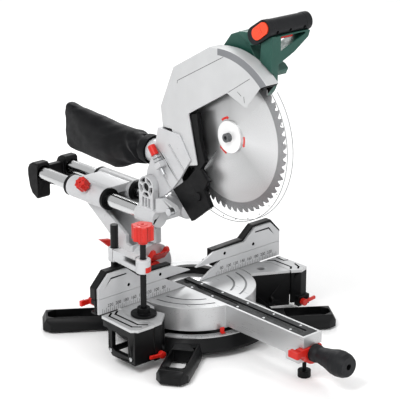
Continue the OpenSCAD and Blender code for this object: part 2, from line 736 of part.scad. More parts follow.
module guard_shell() color(light_grey) {
    slab_x(guard_x[0], guard_x[0] + 2.6) polygon(face);
    slab_x(guard_x[0] + 6, guard_x[1]) polygon(concat(rim_out, rim_in));
    difference() {
        slab_x(guard_x[0], guard_x[0] + 6) polygon(concat(arc(arbor_at, guard_r - 4, 48.5, 103, 14),
            [[31, table_h + 456], [67, table_h + 373], [62, table_h + 330]],
            [[46, table_h + 330], [56, table_h + 373], [24, table_h + 444]],
            arc(arbor_at, guard_r - 17, 103, 48.5, 14)));
        slab_x(guard_x[0] - 1, guard_x[0] + 2.6) polygon(face);
    }
}

boss_at = [-46, table_h + 210];
liner_side = [[32, 205], [-25, 151], [-82, 196], [-62, 226], [-74, 247], [-52, 268], [-66, 286],
    [-50, 330], [-42, 382], [-22, 376], [-44, 276], [-14, 240]];
wall_side = concat(arc(arbor_at, guard_r - 5.5, 48, 101, 16), [[26, table_h + 459],
    [65, table_h + 373], [58, table_h + 330], [60, table_h + 288], [58, table_h + 262], [33, table_h + 208],
    [-22, table_h + 155], [-25, table_h + 160], [-113, table_h + 345]]);
// The guard's black inner wall, its rear and lower edges, and the cover plate below the window
module guard_liner() color(black) {
    difference() {
        translate([0, 0, table_h]) slab_x(-26.5, -16) polygon(liner_side);
        translate([0, 0, table_h]) slab_x(-24, -10)
            polygon([[-12, 186], [-25, 170], [-60, 196], [-30, 216]]);
    }
    at_yz(boss_at) bar_x(-30, -26.4, 9);
    difference() {
        slab_x(guard_x[1] - 3, guard_x[1]) polygon(wall_side);
        at_yz(arbor_at) bar_x(guard_x[1] - 4, guard_x[1] + 1, 43);
    }
    translate([0, 0, table_h]) slab_x(-16.1, guard_x[1])
        polygon([[33, 208], [-22, 155], [-25, 160], [27, 212]]);
}

sleeve_r = 40;
// The belt drive: radii of the arbor's and the motor's pulleys, and the belt's width and thickness
pulley = [24, 9.6];
belt_x = [39, 48];
belt_t = 2.4;
drive_turn = atan2(motor_at[1] - arbor_at[1], arbor_at[0] - motor_at[0]);
drive_wrap = acos((pulley[0] - pulley[1]) / norm(motor_at - arbor_at));
lock_at = arbor_at + [-6, -31];
// The belt's path, as an outline that stands out from the pulleys by grow
function belt_path(grow) = concat(
    arc(arbor_at, pulley[0] + grow, drive_turn + drive_wrap, drive_turn + 360 - drive_wrap),
    arc(motor_at, pulley[1] + grow, drive_turn - drive_wrap, drive_turn + drive_wrap));

module drive_belt() color(black) slab_x(belt_x[0] + 0.5, belt_x[1] - 0.5) difference() {
    polygon(belt_path(0.4 + belt_t));
    polygon(belt_path(0.4));
}

module gear_case() color(charcoal) difference() {
    union() {
        at_yz(arbor_at) bar_x(guard_x[1], 52, 40);
        at_yz(motor_at) bar_x(34.5, 52, 50);
        slab_x(34.5, 52) polygon([on_circle(arbor_at, 40, 40), on_circle(motor_at, 50, 60),
            on_circle(motor_at, 50, 220), on_circle(arbor_at, 40, 220)]);
        at_yz(motor_at) bar_x(guard_x[1], 36, 34);
        at_yz(arbor_at) bar_x(1.8, guard_x[1] + 1, sleeve_r);
    }
    at_yz(arbor_at) bar_x(0, guard_x[1], sleeve_r - 4);
    at_yz(arbor_at) bar_x(0, belt_x[0], 12 + run_gap);
    at_yz(motor_at) bar_x(28, 60, 30);
    slab_x(belt_x[0] - 1, belt_x[1] + 1) polygon(belt_path(belt_t + 2));
    at_yz(lock_at) bar_x(0, 60, 4 + run_gap);
    translate([0, 0, table_h]) slab_x(0, 34.4)
        polygon([[112, 200], [104, 232], [79, 292], [42, 361], [10, 381], [-21, 330], [60, 215]]);
}

motor_r = 54;
motor_x = [52, 168];
module motor_housing() {
    color(green) difference() {
        at_yz(motor_at) union() {
            bar_x(motor_x[0], motor_x[1] - 30, motor_r);
            bar_x(motor_x[1] - 30, motor_x[1], motor_r - 5);
        }
        at_yz(motor_at) bar_x(motor_x[0] - 1, motor_x[1] - 4, motor_r - 9);
        for (a = [0:24:359]) at_yz(motor_at) rotate([a, 0, 0])
            translate([motor_x[1] - 3, 0, 30]) cube([8, 3, 20], center = true);
    }
}

module armature() {
    color(steel) at_yz(motor_at) {
        bar_x(30, motor_x[1] - 5, 6);
        bar_x(belt_x[0], belt_x[1], pulley[1]);
        bar_x(66, 118, 30);
        bar_x(126, 146, 18);
    }
    color(black) at_yz(motor_at) bar_x(54, 62, 38);
}

// The handle: a loop across the machine, its grip parallel to X
grip_y = -206;
grip_z = table_h + 577;
grip_r = 17;
grip_x = [-6, 107];
grip_mid = grip_x[0] + grip_x[1];
neck_x = [14, 64];
neck = [[20, 470], [-90, 470], [-150, 474], [-198, 478], [-204, 490], [-196, 498], [-168, 508],
    [-154, 524], [-142, 552], [-128, 558], [-95, 545], [-73, 518], [-40, 500], [10, 480]];
neck_hollow = [[0, 482], [-90, 482], [-150, 484], [-186, 487], [-164, 498], [-146, 520],
    [-135, 546], [-127, 551], [-99, 540], [-78, 508]];
loop = [[grip_x[0] + 8, -17], [0, -60], [3, -99], [19, -99], [21, -70], [62, -52], [99, -28],
    [104, -16], [grip_x[1] - 8, -14], [grip_x[0] + 8, -14]];
finger_hole = [[26, -17], [90, -17], [91, -20], [44, -38], [26, -45]];
// The neck's left edge, which carries the grip's end
neck_side = [[-200, 545], [-181, 541], [-160, 535], [-140, 548], [-128, 558], [-157, 561],
    [-200, 561]];
trigger_x = [30, 66];
trigger_low = -24;
// The side of the grip's ends and of the buttons in them, as [y, z] from the grip's axis
button = [[0, 1], [18, -12]];
button_r = 12.5;
button_out = 2.5;
grip_side = [[0, 0], [26, -17]];

// A flat slot shape with round ends, from a to b
module capsule(a, b, r) {
    turn = atan2(b[1] - a[1], b[0] - a[0]);
    polygon([for (end = [0, 1], i = [0:12]) let (w = turn + 90 + 180 * end + 15 * i)
        (end == 0 ? a : b) + r * [cos(w), sin(w)]]);
}
module trigger_pocket() translate([trigger_x[0] - 1, grip_y - 7, grip_z - 18])
    cube([trigger_x[1] - trigger_x[0] + 2, 14, 11]);

module handle_body() color(green) difference() {
    union() {
        difference() {
            translate([0, 0, table_h]) slab_x(neck_x[0], neck_x[1]) polygon(neck);
            translate([0, 0, table_h]) slab_x(neck_x[0] + 6, neck_x[1] - 6) polygon(neck_hollow);
        }
        translate([0, 0, table_h]) slab_x(grip_x[0] + 8, 25) polygon(neck_side);
        difference() {
            translate([0, 0, grip_z]) slab_y(grip_y - 15, grip_y + 15) polygon(loop);
            translate([0, 0, grip_z]) slab_y(grip_y - 20, grip_y + 20) polygon(finger_hole);
        }
    }
    at_yz(motor_at) bar_x(0, 200, motor_r + 0.2);
    at_yz(arbor_at) bar_x(-40, guard_x[1], guard_r + 0.5);
    trigger_pocket();
    for (s = [0, 1]) translate([s * grip_mid, 0, 0]) mirror([s, 0, 0]) grip_end();
}

// The moulded end of the grip, which frames a button
module grip_end() at_yz([grip_y, grip_z]) slab_x(grip_x[0], grip_x[0] + 14)
    capsule(grip_side[0], grip_side[1], grip_r + 0.8);
module button_pocket() at_yz([grip_y, grip_z])
    slab_x(grip_x[0] - 1, grip_x[0] + 11) capsule(button[0], button[1], button_r + 0.5);

module handle_grip() color(charcoal) {
    difference() {
        union() {
            at_yz([grip_y, grip_z]) bar_x(grip_x[0] + 6, grip_x[1] - 6, grip_r);
            for (s = [0, 1]) translate([s * grip_mid, 0, 0]) mirror([s, 0, 0]) grip_end();
        }
        translate([grip_x[0] + 14, grip_y - 30, grip_z - 40])
            cube([grip_x[1] - grip_x[0] - 28, 60, 26]);
        for (x = [16, 50, 88]) translate([x, 0, grip_z - 7]) bar_y(grip_y - 30, grip_y - 11, 3);
        for (s = [0, 1]) translate([s * grip_mid, 0, 0]) mirror([s, 0, 0]) button_pocket();
        trigger_pocket();
    }
}

module lock_off() color(red) at_yz([grip_y, grip_z]) difference() {
    slab_x(grip_x[0] - button_out, grip_x[0] + 6) capsule(button[0], button[1], button_r);
    for (i = [-1:1]) slab_x(grip_x[0] - button_out - 1, grip_x[0] - button_out + 0.8)
        translate([9 + 3.6 * i, -5.5 - 2.6 * i]) rotate(54) square([16, 1.2], center = true);
}
module lock_off_left() lock_off();
module lock_off_right() translate([grip_mid, 0, 0]) mirror([1, 0, 0]) lock_off();

module trigger() color(red) translate([trigger_x[0], grip_y - 6, grip_z + trigger_low]) difference() {
    cube([trigger_x[1] - trigger_x[0], 12, -14 - trigger_low]);
    translate([-1, 6, -8]) bar_x(0, 60, 10);
}

module dust_port() color(silver) difference() {
    translate([dust_at[0], 0, dust_at[1]]) bar_y(77, 122, dust_r);
    dust_bore(dust_r - 4);
    translate([0, 0, table_h]) slab_x(-80, 80) polygon(concat([[40, 200]], rear_wall, [[40, 330]]));
}

bag_y = [108, 402];
bag_wide = 76;
// The bag, filled: round at its collar, widest in its middle, closed by an upright seam
module dust_bag() color(charcoal) difference() {
    union() {
        translate([dust_at[0], 0, dust_at[1]]) bar_y(bag_y[0], bag_y[0] + 16, dust_r + 4.5);
        hull() {
            translate([dust_at[0], 0, dust_at[1]]) bar_y(bag_y[0] + 15, bag_y[0] + 18, dust_r + 3);
            translate([dust_at[0], 235, table_h + 254]) resize([bag_wide, 130, 102]) sphere(r = 40, $fn = 32);
            for (z = [222, 300]) translate([dust_at[0] - 9, bag_y[1] - 14, table_h + z]) bar_x(0, 18, 14);
        }
    }
    translate([dust_at[0], 0, dust_at[1]]) bar_y(bag_y[0] - 8, bag_y[0] + 52, dust_r + 0.3);
}

stop_tilt = 38;
stop_at = [-44, 66, table_h + 275];
module stop_place() translate(stop_at) rotate([-stop_tilt, 0, 0]) children();
module depth_stop() stop_place() {
    color(steel) translate([0, 0, -46]) cylinder(r = 4, h = 46);
    color(steel) translate([0, 0, -16]) cylinder(r = 9, h = 6, $fn = 6);
    color(steel) translate([0, 0, -9]) cylinder(r = 9, h = 5, $fn = 6);
    color(red) translate([0, 0, -1]) cylinder(r = 8, h = 22);
}

module spindle_lock() color(charcoal) at_yz(lock_at) {
    bar_x(14, 60, 4);
    bar_x(58.5, 64, 7);
}

// ---- Blade and lower guard ----

function tooth(i) = let (a = 360 / teeth, c = i * a) [
    [blade_r * cos(c), blade_r * sin(c)],
    [(blade_r - 1.5) * cos(c + a * 0.35), (blade_r - 1.5) * sin(c + a * 0.35)],
    [(blade_r - 5) * cos(c + a * 0.55), (blade_r - 5) * sin(c + a * 0.55)],
    [(blade_r - 10) * cos(c + a * 0.8), (blade_r - 10) * sin(c + a * 0.8)],
    [(blade_r - 7) * cos(c + a * 0.95), (blade_r - 7) * sin(c + a * 0.95)]];

module blade() color(steel) at_yz(arbor_at) slab_x(-kerf / 2, kerf / 2) difference() {
    polygon([for (i = [0:teeth - 1]) each tooth(i)]);
    circle(d = bore_d);
}

module arbor() color(silver) at_yz(arbor_at) {
    bar_x(-kerf / 2 - 5, -kerf / 2, 32.5);
    bar_x(kerf / 2, guard_x[1] - 1, 32.5);
    bar_x(-kerf / 2, belt_x[1], 12);
    bar_x(belt_x[0], belt_x[1], pulley[0]);
    difference() {
        bar_x(-kerf / 2, kerf / 2, bore_d / 2);
        bar_x(-3, 3, 12);
    }
    color(black) difference() {
        bar_x(-16, -kerf / 2 - 5, 9);
        translate([-17, 0, 0]) rotate([0, 90, 0]) cylinder(r = 4.6, h = 7, $fn = 6);
    }
}

lg_r = 168.5;
lg_from = -132;
lg_to = 44;
module guard_sector(r) polygon(concat([[0, 0]], arc([0, 0], r, lg_from, lg_to)));
module lg_side(hub) {
    difference() {
        intersection() {
            circle(r = lg_r);
            guard_sector(2 * lg_r);
        }
        circle(r = hub);
    }
    difference() {
        circle(r = 52);
        circle(r = hub);
    }
}

module lower_guard() color("#d8e2e6", 0.35) at_yz(arbor_at) {
    slab_x(-13, -11) lg_side(sleeve_r);
    slab_x(2, 3.5) lg_side(sleeve_r + run_gap);
    slab_x(-11.1, 2.1) intersection() {
        difference() {
            circle(r = lg_r);
            circle(r = lg_r - 2.5);
        }
        guard_sector(2 * lg_r);
    }
}

base_casting();
legs();
rubber_feet();
pivot_bolt();
table_plates();
scale_ring();
fence_lower();
fence_support();
ext_left_top();
ext_left_frame();
ext_right_top();
ext_right_frame();
ext_lever_left();
ext_lever_right();
fence_left();
fence_right();
fence_lever_left();
fence_lever_right();
clamp_post();
clamp_arm();
clamp_screw();
clamp_knob();
clamp_pad();
turntable();
table_insert();
mitre_pointer();
bevel_bracket();
mitre_knob();
detent_lever();
arm_foot();
tilt_arm();
rail_housing();
rail_seals();
bevel_lever();
bevel_latch();
slide_knob();
rails();
rear_bracket();
carriage();
rail_cover();
transport_pin();
head_arm();
guard_shell();
guard_liner();
gear_case();
motor_housing();
handle_body();
handle_grip();
dust_port();
dust_bag();
depth_stop();
lock_off_left();
lock_off_right();
trigger();
spindle_lock();
lower_guard();
blade();
arbor();
armature();
drive_belt();
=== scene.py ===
"""Looks of a sliding mitre saw: materials, detailed pieces, studio and camera, in metres."""
import json
from math import atan2, cos, exp, pi, radians, sin

import bmesh
import bpy
from mathutils import Matrix, Vector, noise

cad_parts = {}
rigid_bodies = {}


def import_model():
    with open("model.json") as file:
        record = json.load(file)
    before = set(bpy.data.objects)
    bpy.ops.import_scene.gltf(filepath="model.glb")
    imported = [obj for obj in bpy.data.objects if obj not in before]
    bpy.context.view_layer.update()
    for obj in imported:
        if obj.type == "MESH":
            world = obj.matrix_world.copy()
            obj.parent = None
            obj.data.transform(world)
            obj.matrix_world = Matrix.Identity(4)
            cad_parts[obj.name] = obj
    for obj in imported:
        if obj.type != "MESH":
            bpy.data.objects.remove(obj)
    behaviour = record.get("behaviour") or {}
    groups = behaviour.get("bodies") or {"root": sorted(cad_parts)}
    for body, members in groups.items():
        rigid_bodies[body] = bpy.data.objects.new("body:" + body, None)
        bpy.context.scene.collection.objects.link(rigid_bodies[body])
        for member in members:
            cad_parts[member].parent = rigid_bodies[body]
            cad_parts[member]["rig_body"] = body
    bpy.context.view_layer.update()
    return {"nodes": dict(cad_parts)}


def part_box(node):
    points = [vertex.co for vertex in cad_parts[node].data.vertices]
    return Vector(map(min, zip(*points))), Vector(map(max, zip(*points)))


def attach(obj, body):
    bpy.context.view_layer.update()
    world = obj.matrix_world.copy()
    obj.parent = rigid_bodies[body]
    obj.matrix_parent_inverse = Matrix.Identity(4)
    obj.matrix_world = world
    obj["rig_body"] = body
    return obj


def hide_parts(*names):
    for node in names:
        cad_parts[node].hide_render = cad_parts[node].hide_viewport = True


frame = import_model()
nodes = frame["nodes"]
MM = 0.001


# ---- Materials ----

class Shader:
    """A node material around one Principled shader, with object coordinates."""

    def __init__(self, name, colour, roughness, metallic=0.0):
        self.m = bpy.data.materials.new(name)
        self.m.use_nodes = True
        self.tree = self.m.node_tree
        self.bsdf = self.tree.nodes["Principled BSDF"]
        self.colour = colour
        self.put("Base Color", (*colour, 1))
        self.put("Roughness", roughness)
        self.put("Metallic", metallic)
        self.coords = self.add("ShaderNodeTexCoord").outputs["Object"]

    def add(self, kind, **inputs):
        node = self.tree.nodes.new(kind)
        for key, value in inputs.items():
            node.inputs[key].default_value = value
        return node

    def put(self, socket, value):
        self.bsdf.inputs[socket].default_value = value

    def link(self, out, into):
        self.tree.links.new(out, into)

    def noise(self, scale, detail=3.0, stretch=(1, 1, 1), coords=None):
        mapping = self.add("ShaderNodeMapping", Scale=stretch)
        self.link(coords or self.coords, mapping.inputs["Vector"])
        noise = self.add("ShaderNodeTexNoise", Scale=scale, Detail=detail)
        self.link(mapping.outputs["Vector"], noise.inputs["Vector"])
        return noise.outputs["Fac"]

    def ramp(self, fac, stops):
        ramp = self.add("ShaderNodeValToRGB")
        ramp.color_ramp.elements[0].position = stops[0][0]
        ramp.color_ramp.elements[0].color = (*stops[0][1], 1)
        ramp.color_ramp.elements[1].position = stops[-1][0]
        ramp.color_ramp.elements[1].color = (*stops[-1][1], 1)
        for place, colour in stops[1:-1]:
            ramp.color_ramp.elements.new(place).color = (*colour, 1)
        self.link(fac, ramp.inputs["Fac"])
        return ramp.outputs["Color"]

    def mottle(self, amount, scale=18.0):
        """Slow variation of the colour, as on a cast or moulded skin."""
        dark = tuple(c * (1 - amount) for c in self.colour)
        light = tuple(min(1.0, c * (1 + amount)) for c in self.colour)
        self.link(self.ramp(self.noise(scale), [(0.3, dark), (0.7, light)]), self.bsdf.inputs["Base Color"])

    def rough(self, low, high, scale=60.0, stretch=(1, 1, 1)):
        fac = self.ramp(self.noise(scale, 4.0, stretch), [(0.3, (low,) * 3), (0.7, (high,) * 3)])
        self.link(fac, self.bsdf.inputs["Roughness"])

    def times(self, first, second):
        mix = self.add("ShaderNodeMixRGB", Fac=1.0)
        mix.blend_type = "MULTIPLY"
        self.link(first, mix.inputs["Color1"])
        self.link(second, mix.inputs["Color2"])
        return mix.outputs["Color"]

    def sectors(self, flat):
        """Painted highlights and shade in wedges around the X axis, standing for the lamps' streaks on steel
        ground in rings.
        """
        parts = self.add("ShaderNodeSeparateXYZ")
        self.link(flat, parts.inputs[0])
        angle = self.add("ShaderNodeMath")
        angle.operation = "ARCTAN2"
        self.link(parts.outputs["Z"], angle.inputs[0])
        self.link(parts.outputs["Y"], angle.inputs[1])
        turn = self.add("ShaderNodeMapRange")
        turn.inputs["From Min"].default_value = -pi
        turn.inputs["From Max"].default_value = pi
        self.link(angle.outputs[0], turn.inputs["Value"])
        light, mid, dark = (1.0,) * 3, (0.80,) * 3, (0.64,) * 3
        stops = [(0.0, light), (0.10, dark), (0.24, mid), (0.36, light), (0.44, dark), (0.60, mid),
                 (0.74, dark), (0.86, mid), (1.0, light)]
        return self.ramp(turn.outputs["Result"], stops)

    def bump(self, height, strength, distance):
        bump = self.add("ShaderNodeBump", Strength=strength, Distance=distance)
        self.link(height, bump.inputs["Height"])
        self.link(bump.outputs["Normal"], self.bsdf.inputs["Normal"])


def painted(name, colour, roughness=0.38, grain=0.25, coat=0.2, gloss=0.5):
    s = Shader(name, colour, roughness)
    s.put("Specular IOR Level", gloss)
    s.put("Coat Weight", coat)
    s.put("Coat Roughness", 0.25)
    s.mottle(0.035)
    s.rough(roughness - 0.06, roughness + 0.08)
    s.bump(s.noise(900.0, 2.0), grain, 0.0002)
    return s.m


def plastic(name, colour, roughness=0.45, grain=0.3, scale=1500.0, gloss=0.5):
    s = Shader(name, colour, roughness)
    s.put("Specular IOR Level", gloss)
    s.mottle(0.06, 30.0)
    s.rough(roughness - 0.07, roughness + 0.09, 90.0)
    s.bump(s.noise(scale, 2.0), grain, 0.00015)
    return s.m


def brushed(name, colour, roughness=0.3, along=(0.02, 1, 1), strength=0.12, metallic=1.0):
    s = Shader(name, colour, roughness, metallic)
    s.mottle(0.03, 12.0)
    s.rough(roughness - 0.07, roughness + 0.1, 700.0, along)
    s.bump(s.noise(900.0, 2.0, along), strength, 0.00008)
    return s.m


def clear(name, colour, alpha):
    s = Shader(name, colour, 0.08)
    s.put("Alpha", alpha)
    s.put("IOR", 1.49)
    s.put("Coat Weight", 0.6)
    s.put("Coat Roughness", 0.05)
    s.rough(0.05, 0.16, 40.0)
    s.bump(s.noise(25.0, 2.0), 0.05, 0.0005)
    return s.m


def ground_steel():
    """A saw blade's face: ground in rings, darker in a band under its teeth, with painted highlights in
    wedges round its middle.
    """
    s = Shader("blade_steel", (0.56, 0.565, 0.57), 0.34, 0.85)
    centre = s.add("ShaderNodeVectorMath")
    centre.operation = "SUBTRACT"
    centre.inputs[1].default_value = BLADE_AT
    s.link(s.coords, centre.inputs[0])
    flat = s.add("ShaderNodeVectorMath")
    flat.operation = "MULTIPLY"
    flat.inputs[1].default_value = (0, 1, 1)
    s.link(centre.outputs[0], flat.inputs[0])
    length = s.add("ShaderNodeVectorMath")
    length.operation = "LENGTH"
    s.link(flat.outputs[0], length.inputs[0])
    away = s.add("ShaderNodeMath")
    away.operation = "DIVIDE"
    away.inputs[1].default_value = BLADE_RADIUS
    s.link(length.outputs["Value"], away.inputs[0])
    rings = s.ramp(away.outputs[0], [(0.0, (0.70, 0.705, 0.71)), (0.86, (0.74, 0.745, 0.75)),
                                     (0.868, (0.30, 0.302, 0.308)), (1.0, (0.34, 0.342, 0.348))])
    # Painted highlight: light and dark wedges multiply the blade's colour.
    s.link(s.times(rings, s.sectors(flat.outputs[0])), s.bsdf.inputs["Base Color"])
    ground = s.add("ShaderNodeTexNoise", Scale=1.0, Detail=2.0)
    scaled = s.add("ShaderNodeCombineXYZ")
    more = s.add("ShaderNodeMath")
    more.operation = "MULTIPLY"
    more.inputs[1].default_value = 260.0
    s.link(away.outputs[0], more.inputs[0])
    s.link(more.outputs[0], scaled.inputs["X"])
    s.link(scaled.outputs[0], ground.inputs["Vector"])
    shine = s.ramp(ground.outputs["Fac"], [(0.3, (0.30,) * 3), (0.7, (0.38,) * 3)])
    s.link(shine, s.bsdf.inputs["Roughness"])
    s.bump(ground.outputs["Fac"], 0.04, 0.00005)
    s.put("Anisotropic", 0.6)
    tangent = s.add("ShaderNodeTangent")
    tangent.direction_type = "RADIAL"
    tangent.axis = "X"
    s.link(tangent.outputs[0], s.bsdf.inputs["Tangent"])
    return s.m


def woven():
    """Black nylon cloth: a fine weave, soft sheen and faint fading."""
    s = Shader("bag_cloth", (0.0040, 0.0043, 0.0054), 0.6)
    s.put("Sheen Weight", 0.1)
    s.put("Sheen Roughness", 0.4)
    s.put("Specular IOR Level", 0.2)
    s.mottle(0.18, 14.0)
    s.rough(0.46, 0.62, 40.0)
    across = s.add("ShaderNodeTexWave", Scale=420.0, Distortion=0.6, Detail=1.0)
    across.bands_direction = "Y"
    along = s.add("ShaderNodeTexWave", Scale=420.0, Distortion=0.6, Detail=1.0)
    along.bands_direction = "Z"
    both = s.add("ShaderNodeMath")
    both.operation = "MULTIPLY"
    for wave, socket in ((across, 0), (along, 1)):
        s.link(s.coords, wave.inputs["Vector"])
        s.link(wave.outputs["Fac"], both.inputs[socket])
    s.bump(both.outputs[0], 0.35, 0.0003)
    return s.m


BLADE_AT = (0.0, -0.113, 0.440)
BLADE_RADIUS = 0.1525
SILVER = painted("silver_paint", (0.52, 0.525, 0.535), 0.33)
GUARD = painted("guard_paint", (0.51, 0.515, 0.52), 0.38, 0.15)
# Painted shade for the guard's sloping band.
GUARD_SLOPE_SHADE = painted("guard_slope_shade", (0.20, 0.205, 0.215), 0.35, 0.15)
SHADE = painted("guard_line", (0.10, 0.103, 0.107), 0.5, 0.1)
BLACK = painted("black_paint", (0.0040, 0.0042, 0.0048), 0.42, 0.35, 0.03, 0.32)
TABLE = brushed("machined_table", (0.56, 0.565, 0.57), 0.34, (1, 0.03, 1), 0.1, 0.6)
# Painted shade: the turntable's grooves darker than its top.
GROOVE_SHADE = brushed("turntable_groove_shade", (0.24, 0.245, 0.25), 0.45, (1, 0.03, 1), 0.1, 0.5)
STEEL = brushed("zinc_steel", (0.55, 0.56, 0.57), 0.3, (1, 1, 0.05))
RAIL = brushed("rail_chrome", (0.60, 0.605, 0.61), 0.16, (1, 0.02, 1), 0.04)
FLANGE = brushed("flange_steel", (0.86, 0.86, 0.86), 0.42, (1, 1, 1), 0.03, 0.35)
PLASTIC = plastic("black_plastic", (0.0045, 0.0047, 0.0054), gloss=0.25)
INSERT = plastic("charcoal_insert", (0.016, 0.017, 0.019), 0.5, gloss=0.35)
RED = plastic("red_plastic", (0.56, 0.022, 0.014), 0.33, 0.12)
ORANGE = plastic("orange_plastic", (0.78, 0.075, 0.025), 0.38, 0.12)
GREEN = plastic("green_plastic", (0.020, 0.085, 0.066), 0.42, 0.3)
GRIP = plastic("grip_rubber", (0.012, 0.0125, 0.0145), 0.55, 0.45, 900.0, 0.35)
RUBBER = plastic("foot_rubber", (0.012, 0.012, 0.012), 0.75, 0.5, 700.0)
INK = plastic("printed_mark", (0.02, 0.02, 0.02), 0.6, 0.1)
PAINT = plastic("printed_arrow", (0.62, 0.03, 0.02), 0.5, 0.1)
COPPER = brushed("copper", (0.55, 0.27, 0.12), 0.4, (0.05, 1, 1))
SUNK_SHADE = plastic("groove_shadow", (0.0025, 0.0026, 0.003), 0.9, 0.1, gloss=0.05)
CLEAR = clear("clear_guard", (0.80, 0.82, 0.83), 0.05)
EDGE = clear("clear_guard_edge", (0.42, 0.43, 0.44), 0.22)
BLADE = ground_steel()
CLOTH = woven()

FINISH = {
    BLACK: "base_casting legs fence_support ext_left_frame ext_right_frame clamp_post clamp_screw",
    SILVER: "fence_lower fence_left fence_right clamp_arm bevel_bracket tilt_arm rail_housing carriage "
            "head_arm gear_case dust_port",
    GUARD: "guard_shell",
    TABLE: "table_plates scale_ring ext_left_top ext_right_top turntable",
    STEEL: "pivot_bolt transport_pin depth_stop",
    FLANGE: "arbor",
    RAIL: "rails",
    BLADE: "blade",
    PLASTIC: "rail_seals rear_bracket rail_cover guard_liner spindle_lock clamp_pad arm_foot",
    INSERT: "table_insert",
    RED: "ext_lever_left ext_lever_right fence_lever_left fence_lever_right clamp_knob mitre_pointer "
         "detent_lever bevel_lever bevel_latch slide_knob trigger",
    ORANGE: "lock_off_left lock_off_right",
    GREEN: "motor_housing handle_body",
    GRIP: "mitre_knob handle_grip drive_belt",
    RUBBER: "rubber_feet",
    CLEAR: "lower_guard",
    CLOTH: "dust_bag",
    COPPER: "armature",
}
finish_of = {name: finish for finish, names in FINISH.items() for name in names.split()}
for name, finish in finish_of.items():
    for i in range(len(nodes[name].material_slots)):
        nodes[name].material_slots[i].material = finish


# ---- Pieces ----

def piece(name, bm, finishes, body, stands_for=(), bevel=0.0, segments=2, pick=None):
    """A mesh object that rides on a body, its hard edges rounded by bevel metres."""
    mesh = bpy.data.meshes.new(name)
    if pick:
        for face in bm.faces:
            face.material_index = pick(face.calc_center_median(), face.normal)
    for face in bm.faces:
        face.smooth = True
    bm.to_mesh(mesh)
    bm.free()
    for finish in finishes:
        mesh.materials.append(finish)
    mesh.set_sharp_from_angle(angle=radians(32))
    obj = bpy.data.objects.new(name, mesh)
    bpy.context.scene.collection.objects.link(obj)
    if bevel:
        rounding = obj.modifiers.new("edges", "BEVEL")
        rounding.width = bevel
        rounding.segments = segments
        rounding.limit_method = "ANGLE"
        rounding.angle_limit = radians(32)
        rounding.use_clamp_overlap = False
        rounding.harden_normals = True
    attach(obj, body)
    if stands_for:
        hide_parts(*stands_for)
    return obj


def node_mesh(name):
    """A node's mesh, welded, with its flat faces whole again unless they surround a window."""
    bm = bmesh.new()
    bm.from_mesh(nodes[name].data)
    bmesh.ops.remove_doubles(bm, verts=bm.verts, dist=0.000004)
    if name not in PIERCED:
        bmesh.ops.dissolve_limit(bm, angle_limit=radians(0.4), verts=bm.verts, edges=bm.edges)
    bm.normal_update()
    return bm


def rounded(name, width, finishes=None, pick=None, segments=2):
    """A node's shape with its edges rounded by width millimetres, and a finish for each face."""
    return piece(name + "_cast", node_mesh(name), finishes or [finish_of[name]],
                 frame["nodes"][name]["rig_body"], [name], width * MM, segments, pick)


PIERCED = ("legs", "ext_left_frame", "carriage", "handle_body", "motor_housing", "slide_knob")
table_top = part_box("turntable")[1].z
fence_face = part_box("fence_lower")[0].y
blade_low, blade_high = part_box("blade")
arbor_at = (blade_low + blade_high) / 2
guard_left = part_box("guard_shell")[0].x
FENCE_HOLES = ((172, 140), (89, 140))
FRAME_EDGE = {"left": 0.6, "right": 1.0}


def plate_or_rim(centre, normal):
    front = centre.y < fence_face + 4.9 * MM
    groove = normal.y < -0.9 and 0.5 * MM < centre.y - fence_face < 2 * MM
    return 0 if front and not groove else 1


def top_or_groove(centre, normal):
    return 1 if 0.45 * MM < table_top - centre.z < 2 * MM else 0


def frame_or_rod(centre, normal):
    """The rods' heads stand out of the frame's outer side."""
    return 1 if abs(centre.x) > 246.5 * MM else 0


def wheel_parts(centre, normal):
    """The pivot wheel's sunk panels and its pin's end are dark with painted shade."""
    pivot_y, pivot_z = 88 * MM, 296 * MM
    wheel_face, wheel_radius = -51.5 * MM, 21.5 * MM
    away = ((centre.y - pivot_y) ** 2 + (centre.z - pivot_z) ** 2) ** 0.5
    return 1 if normal.x < -0.9 and centre.x > wheel_face and away < wheel_radius else 0


def flange_or_bolt(centre, normal):
    flange_face, bolt_radius = -7 * MM, 9.3 * MM
    away = ((centre.y - arbor_at.y) ** 2 + (centre.z - arbor_at.z) ** 2) ** 0.5
    return 1 if centre.x < flange_face and away < bolt_radius else 0


def cap_or_screw(centre, normal):
    """The depth stop's head is a red cap, the rest is steel."""
    lean_y, lean_z, cap_start = 0.616, 0.788, 0.0407 + 0.2916 - 1.5 * MM
    return 1 if (centre.y * lean_y + centre.z * lean_z) > cap_start else 0


rounded("base_casting", 1.2)
rounded("legs", 2.0, segments=3)
rounded("rubber_feet", 0.8)
rounded("table_plates", 0.3)
rounded("fence_lower", 0.4)
rounded("fence_support", 0.8)
for side in ("left", "right"):
    # The extension tops' grooves take painted shade.
    rounded("ext_" + side + "_top", 0.2, [TABLE, SUNK_SHADE], top_or_groove)
    rounded("ext_" + side + "_frame", FRAME_EDGE[side], [BLACK, STEEL], frame_or_rod)
    rounded("ext_lever_" + side, 1.0)
    rounded("fence_" + side, 0.3, [SILVER, BLACK], plate_or_rim)
    rounded("fence_lever_" + side, 1.0)
    rounded("lock_off_" + side, 0.6)
rounded("clamp_arm", 2.2, segments=3)
rounded("clamp_knob", 0.8, segments=3)
rounded("clamp_pad", 1.0)
rounded("clamp_post", 1.0)
